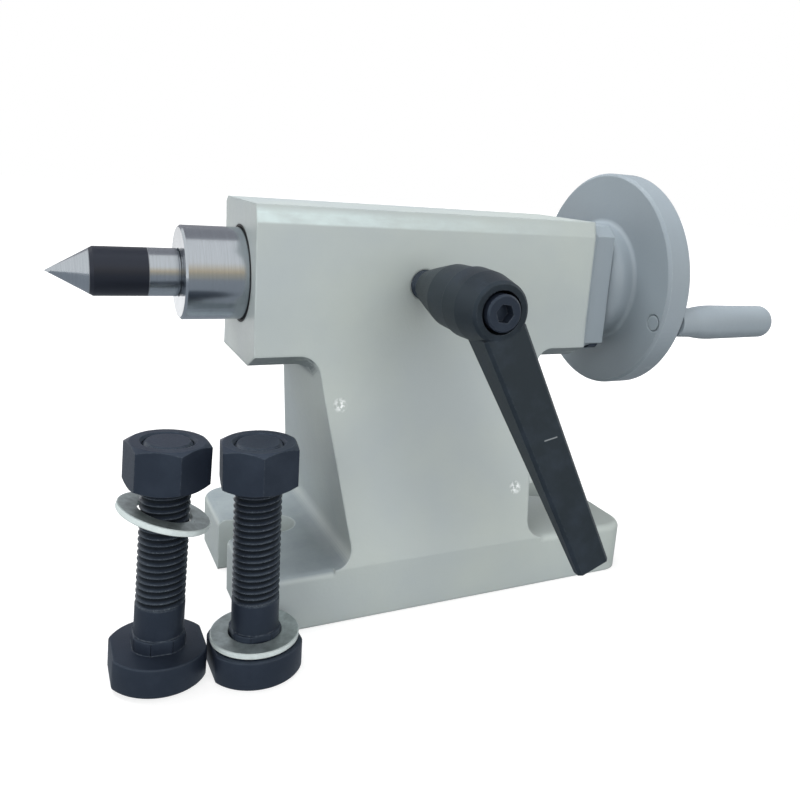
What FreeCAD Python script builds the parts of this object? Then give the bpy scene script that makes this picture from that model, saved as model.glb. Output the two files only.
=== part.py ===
"""Tailstock with a screw-fed quill, a clamp lever and two loose T-bolts.

The frame: millimetres, +Z up, X along the quill axis (the centre's point looks along -X, the
handwheel along +X), -Y is the operator's side. The origin is on the base's bottom face, midway
along the base and straight under the quill axis.
"""
import FreeCAD, Part
import math
import os
import Sketcher

os.makedirs("parts", exist_ok=True)
DOC = FreeCAD.newDocument("tailstock")
SHEET = DOC.addObject("Spreadsheet::Sheet", "sizes")

# Driving sizes. Every length is in millimetres and every angle in degrees.
SIZES = {
    # casting
    "centre_height": 128.0, "base_length": 173.0, "base_width": 95.0, "base_thick": 22.0,
    "base_plan_radius": 10.0, "base_top_radius": 3.0, "slot_width": 17.5, "slot_depth": 30.0,
    "housing_start": 5.0, "housing_length": 148.0, "housing_width": 50.0,
    "housing_above": 28.0, "housing_below": 32.8, "near_bevel_deep": 1.6, "near_bevel_high": 6.5,
    "far_bevel_deep": 3.0, "far_bevel_high": 2.0, "keel_bevel_deep": 9.7, "keel_bevel_high": 5.1,
    "overhang": 25.0, "column_batter": 10.0, "overhang_radius": 8.0, "foot_radius": 7.0,
    "flank_blend": 110.0,
    # quill and its bore
    "quill_diameter": 35.0, "running_clearance": 0.05, "quill_length": 122.5, "quill_out": 22.5,
    "quill_chamfer": 0.8, "socket_mouth": 18.0, "socket_depth": 66.5, "taper_per_mm": 0.04995,
    "ejector_diameter": 15.0, "ejector_length": 7.0, "chamber_diameter": 22.0, "keyway_width": 5.0,
    "keyway_depth": 3.4, "keyway_spare": 3.0, "quill_in_travel": 18.0,
    "quill_out_travel": 22.0, "wiper_diameter": 37.4, "wiper_thick": 3.0, "wiper_clearance": 0.3,
    # dead centre
    "centre_body": 17.7, "centre_body_length": 28.3, "centre_point_angle": 60.0,
    "shank_length": 64.0, "shank_clearance": 0.02, "centre_relief": 0.8,
    # feed screw, nut and thrust washer
    "nut_diameter": 24.0, "nut_length": 20.0, "nut_flange": 30.0, "nut_flange_thick": 4.0,
    "screw_diameter": 14.0, "screw_nose": 63.0, "collar_diameter": 24.0, "collar_thick": 6.0,
    "thrust_thick": 2.0, "end_play": 0.1, "wheel_seat": 12.0, "tail_thread": 10.0, "tail_length": 11.0,
    # end plate
    "plate_thick": 11.8, "plate_inset": 0.9, "plate_corner": 4.5, "plate_lip": 1.5, "lip_step": 0.8,
    "plate_screw": 5.0, "plate_screw_reach": 18.0, "plate_screw_inset": 6.6,
    # handwheel
    "wheel_diameter": 99.5, "wheel_rim": 12.5, "wheel_gap": 11.6, "boss_diameter": 54.0,
    "boss_round": 6.0, "boss_root": 2.0, "dish_depth": 4.0, "dish_outer": 72.0,
    "hub_diameter": 32.0, "wheel_edge": 1.2, "hub_out": 3.0, "key_width": 4.0, "key_length": 14.0,
    "crank_radius": 44.3, "crank_angle": 197.5, "rivet_sink": 0.8,
    # crank grip
    "grip_length": 56.5, "grip_neck": 12.6, "grip_diameter": 15.4, "grip_end": 14.8, "grip_round": 4.8,
    "grip_waist": 9.0, "stud_diameter": 7.0, "stud_bead": 0.8, "rivet_diameter": 6.5,
    # clamp lever
    "lever_from_front": 67.0, "clamp_thread": 12.0, "insert_reach": 4.4, "insert_length": 42.0,
    "hub_start": 6.5, "hub_neck": 14.0, "flare_length": 9.5, "flare_rise": 2.4, "cone_length": 20.5,
    "hub_swell": 23.8, "hub_shoulder": 24.6, "barrel_start": 40.5, "barrel_length": 9.0,
    "barrel_taper": 0.3,
    "barrel_diameter": 25.8, "barrel_front": 21.4, "lever_height": 60.0, "recess_diameter": 15.2,
    "recess_depth": 11.0, "web_thick": 4.0, "lever_screw": 8.0, "lever_lift": 4.0, "arm_length": 94.0,
    "arm_tilt": 14.6, "arm_swing": 21.4, "arm_root_width": 17.0, "arm_tip_width": 13.0,
    "arm_root_thick": 15.0, "arm_tip_thick": 5.0, "arm_start": 0.2, "arm_drop": 0.4, "arm_bevel": 1.2,
    "hub_step": 0.8, "hub_edge": 1.0, "lever_screw_room": 0.3, "shoe_thick": 4.0,
    # loose T-bolts
    "bolt_diameter": 16.0, "bolt_height": 81.5, "thread_length": 55.5, "thread_under": 0.1,
    "bolt_end": 0.9, "bolt_lean": 2.8, "head_diameter": 33.0, "head_flats": 29.8, "head_thick": 10.4,
    "neck_side": 16.6, "neck_corner": 17.8, "neck_height": 4.7, "nut_flats": 24.0,
    "nut_height": 14.8, "nut_chamfer": 0.9, "washer_outer": 30.0, "washer_inner": 18.0,
    "washer_thick": 2.2, "washer_gap": 0.3, "washer_tilt": 15.6, "washer_drop": 5.0,
    "left_ahead": 33.1, "left_beside": 8.1, "right_ahead": 1.7, "right_beside": 14.3,
}


class Size:
    """A length that carries both its value and the sheet's expression for it."""

    def __init__(self, value, text):
        self.value, self.text = float(value), text

    def _join(self, other, sign, value):
        text = other.text if isinstance(other, Size) else repr(float(other))
        return Size(value, "(%s %s %s)" % (self.text, sign, text))

    def __add__(self, other):
        return self._join(other, "+", self.value + number(other))

    def __sub__(self, other):
        return self._join(other, "-", self.value - number(other))

    def __mul__(self, other):
        return self._join(other, "*", self.value * number(other))

    def __truediv__(self, other):
        return self._join(other, "/", self.value / number(other))

    def __neg__(self):
        return Size(-self.value, "(0 - %s)" % self.text)

    def __radd__(self, other):
        return Size(other, repr(float(other))) + self

    def __rsub__(self, other):
        return Size(other, repr(float(other))) - self

    __rmul__ = __mul__


def number(item):
    return item.value if isinstance(item, Size) else float(item)


def fill_sheet():
    """Writes one row for each driving size and returns them by name."""
    for row, (name, value) in enumerate(SIZES.items(), start=1):
        SHEET.set("A%d" % row, name)
        SHEET.set("B%d" % row, repr(value))
        SHEET.setAlias("B%d" % row, name)
    DOC.recompute()
    return {name: Size(SHEET.get(name), "sizes." + name) for name in SIZES}


D = fill_sheet()

# Places that several pieces share.
FRONT = D["housing_start"] - D["base_length"] / 2
REAR = FRONT + D["housing_length"]
AXIS = D["centre_height"]
HOUSING_LOW = AXIS - D["housing_below"]
HOUSING_TOP = AXIS + D["housing_above"]
QUILL_FACE = FRONT - D["quill_out"]
QUILL_END = QUILL_FACE + D["quill_length"]
PLATE_OUT = REAR + D["plate_thick"]
BOSS_FACE = PLATE_OUT + D["end_play"]
WHEEL_IN = PLATE_OUT + D["wheel_gap"]
WHEEL_OUT = WHEEL_IN + D["wheel_rim"]
HUB_FACE = WHEEL_OUT + D["hub_out"]
NEAR_WALL = D["housing_width"] / 2
LEVER_X = FRONT + D["lever_from_front"]
BORE = D["quill_diameter"] + D["running_clearance"] * 2


def bind(obj, prop, size):
    """Sets a property and ties it to the sheet where the size comes from there."""
    if isinstance(size, Size):
        obj.setExpression(prop, size.text)
    else:
        setattr(obj, prop, size)


def body(name):
    made = DOC.addObject("PartDesign::Body", name)
    made.Label = name
    return made


def sketch_on(owner, name, role):
    """An empty sketch on one of the body's own origin planes."""
    made = owner.newObject("Sketcher::SketchObject", name)
    plane = next(f for f in owner.Origin.OriginFeatures if f.Role == role)
    made.AttachmentSupport = [(plane, "")]
    made.MapMode = "FlatFace"
    return made


def pin_point(sketch, index, end, x, y):
    """Ties one point of a sketch to the sketch's origin with two bound lengths."""
    for kind, size, axis in (("DistanceX", x, -2), ("DistanceY", y, -1)):
        if not isinstance(size, Size) and abs(size) < 1e-9:
            sketch.addConstraint(Sketcher.Constraint("PointOnObject", index, end, axis))
            continue
        row = sketch.addConstraint(Sketcher.Constraint(kind, -1, 1, index, end, number(size)))
        if isinstance(size, Size):
            sketch.setExpression("Constraints[%d]" % row, size.text)


def outline(sketch, points):
    """A closed outline through points given as bound lengths.

    A point is (x, y), or (x, y, r) where an arc of radius r leads to it from the point before, with
    its centre on the left of the way round for a positive r and on the right for a negative one.
    """
    flat = [FreeCAD.Vector(number(p[0]), number(p[1]), 0) for p in points]
    first, count = sketch.GeometryCount, len(points)
    ends = []
    for k in range(count):
        a, b, bend = flat[k], flat[(k + 1) % count], points[(k + 1) % count][2:]
        if not bend:
            sketch.addGeometry(Part.LineSegment(a, b), False)
            ends.append((1, 2))
            continue
        ends.append(add_arc(sketch, a, b, bend[0]))
    for k, p in enumerate(points):
        before = (k - 1) % count
        sketch.addConstraint(Sketcher.Constraint("Coincident", first + before, ends[before][1],
                                                 first + k, ends[k][0]))
        pin_point(sketch, first + k, ends[k][0], p[0], p[1])
    return sketch


def add_arc(sketch, a, b, bend):
    """Adds the short arc from a to b; returns which of its ends is a and which is b."""
    radius, half = abs(number(bend)), (b - a) * 0.5
    side = FreeCAD.Vector(-half.y, half.x, 0).normalize() * math.sqrt(radius ** 2 - half.Length ** 2)
    leftwards = number(bend) > 0
    centre = a + half + (side if leftwards else side * -1)
    away = (a + half - centre).normalize() * radius
    k = sketch.addGeometry(Part.Arc(a, centre + away, b), False)
    size = bend if leftwards else -bend
    row = sketch.addConstraint(Sketcher.Constraint("Radius", k, radius))
    if isinstance(size, Size):
        sketch.setExpression("Constraints[%d]" % row, size.text)
    return (1, 2) if leftwards else (2, 1)


def root_of(size):
    return Size(math.sqrt(number(size)), "sqrt(%s)" % size.text)


def sine(size):
    return Size(math.sin(math.radians(number(size))), "sin(%s * 1 deg)" % size.text)


def cosine(size):
    return Size(math.cos(math.radians(number(size))), "cos(%s * 1 deg)" % size.text)


def ring(sketch, x, y, diameter):
    """A circle with a bound centre and diameter."""
    centre = FreeCAD.Vector(number(x), number(y), 0)
    k = sketch.addGeometry(Part.Circle(centre, FreeCAD.Vector(0, 0, 1), number(diameter) / 2), False)
    pin_point(sketch, k, 3, x, y)
    row = sketch.addConstraint(Sketcher.Constraint("Diameter", k, number(diameter)))
    if isinstance(diameter, Size):
        sketch.setExpression("Constraints[%d]" % row, diameter.text)
    return sketch


def pad(owner, name, sketch, length, middle=False, back=False):
    made = owner.newObject("PartDesign::Pad", name)
    made.Profile = sketch
    bind(made, "Length", length)
    made.SideType = "Symmetric" if middle else "One side"
    made.Reversed = back
    DOC.recompute()
    return made


def pocket(owner, name, sketch, length=None, back=False, middle=False, face=None):
    """A cut of a bound depth, or up to a face's plane, or else right through both ways."""
    before, base = owner.Shape.Volume, owner.Tip
    made = owner.newObject("PartDesign::Pocket", name)
    made.Profile = sketch
    if face:
        made.Type = "UpToFace"
        made.UpToFace = (base, [face])
    elif length is None:
        made.Type = "ThroughAll"
        made.SideType = "Symmetric"
    else:
        made.Type = "Length"
        bind(made, "Length", length)
        made.SideType = "Symmetric" if middle else "One side"
    made.Reversed = back
    DOC.recompute()
    if owner.Shape.Volume > before - 1e-3:
        raise RuntimeError("%s cut nothing" % name)
    return made


def dress(owner, kind, name, test, size):
    """A fillet or chamfer on the edges of the last feature that pass a test."""
    base = owner.Tip
    names = ["Edge%d" % k for k, e in enumerate(base.Shape.Edges, start=1) if test(e)]
    if not names:
        raise RuntimeError("%s found no edge" % name)
    made = owner.newObject("PartDesign::" + kind, name)
    made.Base = (base, names)
    bind(made, "Radius" if kind == "Fillet" else "Size", size)
    owner.Tip = made
    DOC.recompute()
    if "Invalid" in made.State:
        raise RuntimeError("%s could not be made" % name)
    return made


def turned(name, points, axis="X", at=None, turn=None):
    """A body of revolution from an outline of (along, radius) points."""
    made = body(name)
    role = {"X": "XZ_Plane", "Z": "XZ_Plane"}[axis]
    sketch = sketch_on(made, name + "_profile", role)
    outline(sketch, points if axis == "X" else [(r, z) for z, r in points])
    spin = made.newObject("PartDesign::Revolution", name + "_turned")
    spin.Profile = sketch
    spin.ReferenceAxis = (sketch, ["H_Axis" if axis == "X" else "V_Axis"])
    spin.Angle = 360
    DOC.recompute()
    place(made, at, turn)
    return made


def place(obj, at=None, turn=None):
    """Puts a body at a bound point; turn is a rotation, set as it is."""
    if turn is not None:
        obj.Placement = FreeCAD.Placement(FreeCAD.Vector(0, 0, 0), turn)
    for axis, size in zip("xyz", at or (0, 0, 0)):
        if isinstance(size, Size):
            obj.setExpression("Placement.Base." + axis, size.text)
        elif size:
            raise RuntimeError("place %s from the sheet" % obj.Label)
    DOC.recompute()


def near(a, b, tol=0.02):
    return abs(a - number(b)) < tol


def along(edge, axis):
    """True where an edge is straight and runs along the given axis."""
    if edge.Curve.TypeId != "Part::GeomLine":
        return False
    step = edge.Vertexes[-1].Point - edge.Vertexes[0].Point
    return abs(abs(getattr(step, axis)) - step.Length) < 1e-6


def half_angle_tan(size):
    return math.tan(math.radians(number(size)) / 2)


def casting():
    """The cast body: base, column that flares towards the base, and bored housing."""
    made = body("body_casting")
    half, wide = D["base_length"] / 2, D["base_width"] / 2
    plan = sketch_on(made, "base_outline", "XY_Plane")
    outline(plan, [(-half, -wide), (half, -wide), (half, wide), (-half, wide)])
    pad(made, "base_pad", plan, D["base_thick"])
    dress(made, "Fillet", "base_plan_fillets", lambda e: along(e, "z"), D["base_plan_radius"])
    dress(made, "Fillet", "base_top_fillets", lambda e: near(e.BoundBox.ZMin, D["base_thick"]),
          D["base_top_radius"])
    column_and_housing(made)
    cut_keel_bevels(made)
    bore_casting(made)
    cut_slots(made)
    return made


def column_and_housing(made):
    """Adds the side view of column and housing, and cuts its end view: flare and top bevels."""
    left, right, root = FRONT + D["overhang"], REAR - D["overhang"], D["base_thick"] / 2
    foot_left, foot_right = left + D["column_batter"], right - D["column_batter"]
    # the foot's rounding: how far its ends lie from the corner, along the base and up the column
    lean, rise = D["column_batter"], HOUSING_LOW - D["base_thick"]
    slant = root_of(lean * lean + rise * rise)
    run = D["foot_radius"] * root_of((slant + lean) / (slant - lean))
    up, over = run * rise / slant, run * lean / slant
    top = D["base_thick"]
    side = sketch_on(made, "side_outline", "XZ_Plane")
    outline(side, [(foot_left - run, root), (foot_right + run, root), (foot_right + run, top),
                   (foot_right + over, top + up, -D["foot_radius"]), (right, HOUSING_LOW),
                   (REAR, HOUSING_LOW), (REAR, HOUSING_TOP), (FRONT, HOUSING_TOP), (FRONT, HOUSING_LOW),
                   (left, HOUSING_LOW), (foot_left - over, top + up),
                   (foot_left - run, top, -D["foot_radius"])])
    pad(made, "side_pad", side, D["base_width"], middle=True)
    wide = D["base_width"] / 2
    out, top = wide + 5, HOUSING_TOP + 5
    # the flank runs into the housing's wall by an arc, from "low" up to "blend" above the underside
    step = wide - NEAR_WALL
    flank = root_of(step * step + rise * rise)
    blend = D["flank_blend"] * (flank - rise) / step
    for tag, way, deep, high in (("near", -1, D["near_bevel_deep"], D["near_bevel_high"]),
                                 ("far", 1, D["far_bevel_deep"], D["far_bevel_high"])):
        sketch = sketch_on(made, tag + "_flank", "YZ_Plane")
        low = ((NEAR_WALL + blend * step / flank) * way, HOUSING_LOW - blend * rise / flank)
        outline(sketch, [(wide * way, D["base_thick"]), low,
                         (NEAR_WALL * way, HOUSING_LOW + blend, D["flank_blend"] * -way),
                         (NEAR_WALL * way, HOUSING_TOP - high), ((NEAR_WALL - deep) * way, HOUSING_TOP),
                         ((NEAR_WALL - deep) * way, top), (out * way, top), (out * way, D["base_thick"])])
        pocket(made, tag + "_flank_cut", sketch)


def cut_keel_bevels(made):
    """Bevels the near lower edge of both overhangs and rounds them into the column's ends."""
    deep, high, out = D["keel_bevel_deep"], D["keel_bevel_high"], 3
    ends = {"front": (FRONT, FRONT + D["overhang"]), "rear": (REAR, REAR - D["overhang"])}
    for end, (shift, corner) in ends.items():
        sketch = sketch_on(made, end + "_keel", "YZ_Plane")
        outline(sketch, [(-(NEAR_WALL + out), HOUSING_LOW + high + high / deep * out),
                         (-(NEAR_WALL - deep), HOUSING_LOW), (-(NEAR_WALL - deep), HOUSING_LOW - 1),
                         (-(NEAR_WALL + out), HOUSING_LOW - 1)])
        sketch.setExpression("AttachmentOffset.Base.z", shift.text)
        pocket(made, end + "_keel_cut", sketch, back=(end == "front"), face=column_end(made, corner))
    corners = [FreeCAD.Vector(number(x), number(deep - NEAR_WALL), number(HOUSING_LOW))
               for _, x in ends.values()]
    dress(made, "Fillet", "overhang_fillets",
          lambda e: not along(e, "x") and any(v.Point.distanceToPoint(c) < 0.02 for v in e.Vertexes
                                              for c in corners), D["overhang_radius"])


def column_end(made, corner):
    """The name of the column's sloping end face whose upper edge is at the given x."""
    for k, f in enumerate(made.Tip.Shape.Faces, start=1):
        box, way = f.BoundBox, f.normalAt(0, 0)
        if (near(box.ZMax, HOUSING_LOW, 0.5) and abs(way.x) > 0.9 and abs(way.z) > 0.05
                and min(abs(box.XMin - number(corner)), abs(box.XMax - number(corner))) < 0.5):
            return "Face%d" % k
    raise RuntimeError("the column's end wasn't found")


def bore_casting(made):
    """The quill bore, the wiper's seat, the clamp hole, the guide hole and the plate's tappings."""
    pocket(made, "quill_bore", ring(sketch_on(made, "bore_ring", "YZ_Plane"), 0, AXIS, BORE))
    seat = ring(sketch_on(made, "wiper_ring", "YZ_Plane"), 0, AXIS, D["wiper_diameter"])
    seat.setExpression("AttachmentOffset.Base.z", FRONT.text)
    pocket(made, "wiper_seat", seat, D["wiper_thick"], back=True)
    clamp = ring(sketch_on(made, "clamp_ring", "XZ_Plane"), LEVER_X, AXIS,
                 D["clamp_thread"] + D["running_clearance"] * 2)
    pocket(made, "clamp_hole", clamp, D["housing_width"], back=True)
    guide = ring(sketch_on(made, "guide_ring", "XZ_Plane"), LEVER_X, AXIS, GUIDE_THREAD)
    pocket(made, "guide_hole", guide, D["housing_width"], back=False)
    taps = sketch_on(made, "plate_taps", "YZ_Plane")
    for y, z in plate_screw_places():
        ring(taps, y, z, D["plate_screw"])
    taps.setExpression("AttachmentOffset.Base.z", REAR.text)
    pocket(made, "plate_tappings", taps, D["plate_screw_reach"])


def cut_slots(made):
    """The open U slots at both ends of the base, for the T-bolts."""
    wide, reach = D["slot_width"], D["base_length"] / 2 - D["slot_depth"] + D["slot_width"] / 2
    out = D["base_length"] / 2 + 5
    for tag, way in (("left", -1), ("right", 1)):
        sketch = sketch_on(made, tag + "_slot", "XY_Plane")
        outline(sketch, [(reach * way, wide / 2), (out * way, wide / 2), (out * way, -wide / 2),
                         (reach * way, -wide / 2)])
        pocket(made, tag + "_slot_cut", sketch, D["base_thick"], back=True)
        end = ring(sketch_on(made, tag + "_slot_end", "XY_Plane"), reach * way, 0, wide)
        pocket(made, tag + "_slot_round", end, D["base_thick"], back=True)


def plate_screw_places():
    """The (y, z) of the end plate's four screws."""
    inset = D["plate_inset"] + D["plate_screw_inset"]
    y = NEAR_WALL - inset
    return [(y * a, z) for a in (-1, 1) for z in (HOUSING_LOW + inset, HOUSING_TOP - inset)]


GUIDE_THREAD = D["keyway_width"] + 3


def wiper():
    """The dark ring that seals the quill at the mouth of the bore."""
    inner = D["quill_diameter"] / 2 + D["wiper_clearance"]
    outer = D["wiper_diameter"] / 2
    return turned("bore_wiper", [(FRONT, inner), (FRONT, outer), (FRONT + D["wiper_thick"], outer),
                                 (FRONT + D["wiper_thick"], inner)], at=(0, 0, AXIS))


def quill():
    """The sliding sleeve: taper socket in front, chamber for the screw and nut seat behind."""
    r, bevel = D["quill_diameter"] / 2, D["quill_chamfer"]
    mouth = D["socket_mouth"] / 2
    deep = QUILL_FACE + D["socket_depth"]
    small = mouth - D["socket_depth"] * D["taper_per_mm"] / 2
    hole = D["ejector_diameter"] / 2
    room = deep + D["ejector_length"]
    seat = QUILL_END - D["nut_length"]
    made = turned("quill", [
        (QUILL_FACE, mouth), (QUILL_FACE, r - bevel), (QUILL_FACE + bevel, r), (QUILL_END - bevel, r),
        (QUILL_END, r - bevel), (QUILL_END, D["nut_diameter"] / 2), (seat, D["nut_diameter"] / 2),
        (seat, D["chamber_diameter"] / 2), (room, D["chamber_diameter"] / 2), (room, hole),
        (deep, hole), (deep, small)])
    slot = sketch_on(made, "keyway_outline", "XZ_Plane")
    w = D["keyway_width"] / 2
    start = LEVER_X - D["quill_in_travel"] - w - D["keyway_spare"]
    end = LEVER_X + D["quill_out_travel"] + w + D["keyway_spare"]
    outline(slot, [(start, -w), (end, -w), (end, w), (start, w)])
    slot.setExpression("AttachmentOffset.Base.z", (0 - (r - D["keyway_depth"])).text)
    pocket(made, "keyway", slot, D["keyway_depth"] + 1, back=False)
    place(made, (0, 0, AXIS))
    return made


def dead_centre():
    """The hardened centre: 60 degree point, ground body and tapered shank in the quill."""
    face = QUILL_FACE - D["centre_relief"]
    body_r = D["centre_body"] / 2
    base = face - D["centre_body_length"]
    tip = Size(number(base) - number(body_r) / half_angle_tan(D["centre_point_angle"]),
               "(%s - %s / tan(sizes.centre_point_angle * 1 deg / 2))" % (base.text, body_r.text))
    mouth = D["socket_mouth"] / 2 - D["shank_clearance"]
    end = QUILL_FACE + D["shank_length"]
    small = mouth - D["shank_length"] * D["taper_per_mm"] / 2
    neck = body_r - D["centre_relief"]
    return turned("dead_centre", [
        (tip, 0), (end, 0), (end, small - 1), (end - 2, small), (QUILL_FACE + D["centre_relief"], mouth),
        (QUILL_FACE + D["centre_relief"], neck), (face, neck), (face, body_r), (base, body_r)],
        at=(0, 0, AXIS))


def feed_nut():
    """The bronze nut pressed into the back of the quill."""
    bore = D["screw_diameter"] / 2 + D["running_clearance"]
    seat, end = QUILL_END - D["nut_length"], QUILL_END + D["nut_flange_thick"]
    r, flange = D["nut_diameter"] / 2, D["nut_flange"] / 2
    return turned("feed_nut", [(seat, bore), (seat, r), (QUILL_END, r), (QUILL_END, flange),
                               (end, flange), (end, bore)], at=(0, 0, AXIS))


def feed_screw():
    """The feed screw with its collar, journal, wheel seat and threaded tail."""
    r, c = D["screw_diameter"] / 2, D["collar_diameter"] / 2
    back = REAR - D["thrust_thick"] - D["end_play"] * 2
    front = back - D["collar_thick"]
    journal, seat, tail = r - D["running_clearance"], D["wheel_seat"] / 2, D["tail_thread"] / 2
    end = HUB_FACE + D["tail_length"]
    made = turned("feed_screw", [
        (FRONT + D["screw_nose"], 0), (end, 0), (end, tail - 1), (end - 1, tail), (HUB_FACE, tail),
        (HUB_FACE, seat), (BOSS_FACE, seat), (BOSS_FACE, journal), (back, journal), (back, c),
        (front, c), (front, r), (FRONT + D["screw_nose"] + 1, r), (FRONT + D["screw_nose"], r - 1)])
    cut = sketch_on(made, "screw_keyway_outline", "XZ_Plane")
    w = D["key_width"] / 2
    a, b = KEY_START, KEY_START + D["key_length"]
    outline(cut, [(a, seat - w), (b, seat - w), (b, seat + w), (a, seat + w)])
    pocket(made, "screw_keyway", cut, D["key_width"], middle=True)
    place(made, (0, 0, AXIS))
    return made


KEY_START = BOSS_FACE + 3


def thrust_washer():
    """The brass washer between the screw's collar and the end plate."""
    bore = D["screw_diameter"] / 2 + D["running_clearance"]
    a = REAR - D["thrust_thick"] - D["end_play"]
    b = REAR - D["end_play"]
    return turned("thrust_washer", [(a, bore), (a, D["collar_diameter"] / 2), (b, D["collar_diameter"] / 2),
                                    (b, bore)], at=(0, 0, AXIS))


def end_plate():
    """The plate that closes the housing and carries the screw's journal."""
    made = body("end_plate")
    y, inset = NEAR_WALL - D["plate_inset"], D["plate_inset"]
    c, s, deep, high = D["plate_corner"], D["lip_step"], D["keel_bevel_deep"], D["keel_bevel_high"]
    for tag, grow, start, thick in (("lip", 0, 0, D["plate_lip"]),
                                    ("plate", s, D["plate_lip"], D["plate_thick"] - D["plate_lip"])):
        sketch = sketch_on(made, tag + "_outline", "YZ_Plane")
        a, top, low = y - grow, D["housing_above"] - inset - grow, inset + grow - D["housing_below"]
        outline(sketch, [(a, low + c), (a, top - c), (a - c, top), (c - a, top), (-a, top - c),
                         (-a, low + high), (deep - a, low), (a - c, low)])
        if start:
            sketch.setExpression("AttachmentOffset.Base.z", start.text)
        pad(made, tag + "_pad", sketch, thick)
    journal = ring(sketch_on(made, "journal_ring", "YZ_Plane"), 0, 0, D["screw_diameter"])
    pocket(made, "journal_bore", journal)
    shanks, heads = sketch_on(made, "shank_rings", "YZ_Plane"), sketch_on(made, "head_rings", "YZ_Plane")
    for sy, sz in plate_screw_places():
        ring(shanks, sy, sz - AXIS, D["plate_screw"] + 0.6)
        ring(heads, sy, sz - AXIS, SCREW_HEAD + 0.6)
    pocket(made, "shank_holes", shanks)
    heads.setExpression("AttachmentOffset.Base.z", D["plate_thick"].text)
    pocket(made, "head_holes", heads, D["plate_screw"] + 0.5)
    place(made, (REAR, 0, AXIS))
    return made


SCREW_HEAD = D["plate_screw"] * 1.7


def hexagon(sketch, flats, x=0, y=0):
    """A hexagon with a bound width across flats and a corner towards the sketch's +X."""
    side = flats / 2 * (2 / math.sqrt(3))
    outline(sketch, [(side + x, y), (side / 2 + x, flats / 2 + y), (x - side / 2, flats / 2 + y),
                     (x - side, y), (x - side / 2, y - flats / 2), (side / 2 + x, y - flats / 2)])
    return sketch


def cap_screw(name, diameter, head, length, at, turn, socket):
    """A socket head screw along its own +Z, with the head's underside at the origin."""
    r, head_r, high = diameter / 2, head / 2, diameter
    made = turned(name, [(-length, 0), (high, 0), (high, head_r - 0.6), (high - 0.6, head_r), (0, head_r),
                         (0, r), (0.8 - length, r), (-length, r - 0.8)], axis="Z")
    sketch = hexagon(sketch_on(made, name + "_socket", "XY_Plane"), socket)
    sketch.setExpression("AttachmentOffset.Base.z", high.text)
    pocket(made, name + "_socket_cut", sketch, high / 2)
    place(made, at, turn)
    return made


def plate_screws():
    turn = FreeCAD.Rotation(FreeCAD.Vector(0, 1, 0), 90)
    under = PLATE_OUT - D["plate_screw"] - 0.5
    reach = D["plate_thick"] - D["plate_screw"] - 0.5 + D["plate_screw_reach"] - 1
    return [cap_screw("end_plate_screw_%d" % k, D["plate_screw"] * 1, SCREW_HEAD, reach,
                      (under, y, z), turn, D["plate_screw"] * 0.8)
            for k, (y, z) in enumerate(plate_screw_places(), start=1)]


def handwheel():
    """The solid cast wheel: boss towards the plate, flat inner face and dished outer face."""
    rim, edge = D["wheel_diameter"] / 2, D["wheel_edge"]
    boss, hub, bore = D["boss_diameter"] / 2, D["hub_diameter"] / 2, D["wheel_seat"] / 2
    dish, floor = D["dish_outer"] / 2, WHEEL_OUT - D["dish_depth"]
    made = turned("handwheel", [
        (BOSS_FACE, bore), (BOSS_FACE, boss), (WHEEL_IN, boss), (WHEEL_IN, rim - edge),
        (WHEEL_IN + edge, rim), (WHEEL_OUT - edge, rim), (WHEEL_OUT, rim - edge),
        (WHEEL_OUT, dish), (floor, dish - D["dish_depth"]),
        (floor, hub + D["dish_depth"]), (HUB_FACE, hub), (HUB_FACE, bore)])
    for name, x, size in (("boss_round", BOSS_FACE, D["boss_round"]),
                          ("boss_root", WHEEL_IN, D["boss_root"])):
        dress(made, "Fillet", name,
              lambda e: near(e.BoundBox.XMin, x) and near(e.BoundBox.XMax, x)
              and near(e.BoundBox.ZMax, boss), size)
    cut = sketch_on(made, "hub_keyway_outline", "XZ_Plane")
    w, a, b = D["key_width"] / 2, KEY_START, KEY_START + D["key_length"]
    outline(cut, [(a, bore - w), (b, bore - w), (b, bore + w), (a, bore + w)])
    pocket(made, "hub_keyway", cut, D["key_width"], middle=True)
    y, z = crank_place()
    hole = ring(sketch_on(made, "rivet_ring", "YZ_Plane"), y, z, D["rivet_diameter"])
    pocket(made, "rivet_hole", hole)
    dress(made, "Chamfer", "rivet_countersink",
          lambda e: e.Curve.TypeId == "Part::GeomCircle" and near(e.Curve.Radius, D["rivet_diameter"] / 2)
          and near(e.BoundBox.XMax, WHEEL_IN), D["rivet_sink"])
    place(made, (0, 0, AXIS))
    return made


def crank_place():
    """The (y, z) of the crank stud, counted from the wheel's axis."""
    a = "(sizes.crank_angle * 1 deg)"
    v = math.radians(number(D["crank_angle"]))
    r = D["crank_radius"]
    return (Size(r.value * math.cos(v), "(%s * cos%s)" % (r.text, a)),
            Size(r.value * math.sin(v), "(%s * sin%s)" % (r.text, a)))


def wheel_key():
    """The square key between the screw and the wheel."""
    made = DOC.addObject("Part::Box", "wheel_key")
    made.Label = "wheel_key"
    for prop, size in (("Length", D["key_length"]), ("Width", D["key_width"]), ("Height", D["key_width"])):
        bind(made, prop, size)
    place(made, (KEY_START, -D["key_width"] / 2, AXIS + D["wheel_seat"] / 2 - D["key_width"] / 2))
    return made


def wheel_fastening():
    """The washer and nut that hold the wheel on the screw's tail."""
    r = D["tail_thread"] / 2
    thick = 2
    washer = turned("wheel_washer", [(HUB_FACE, r + 0.1), (HUB_FACE, r * 2), (HUB_FACE + thick, r * 2),
                                     (HUB_FACE + thick, r + 0.1)], at=(0, 0, AXIS))
    nut = hex_nut("wheel_nut", D["tail_thread"] * 1.6, D["tail_thread"] * 0.8, D["tail_thread"], 0.8,
                  (HUB_FACE + thick, 0, AXIS), FreeCAD.Rotation(FreeCAD.Vector(0, 1, 0), 90), 0)
    return [washer, nut]


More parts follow.
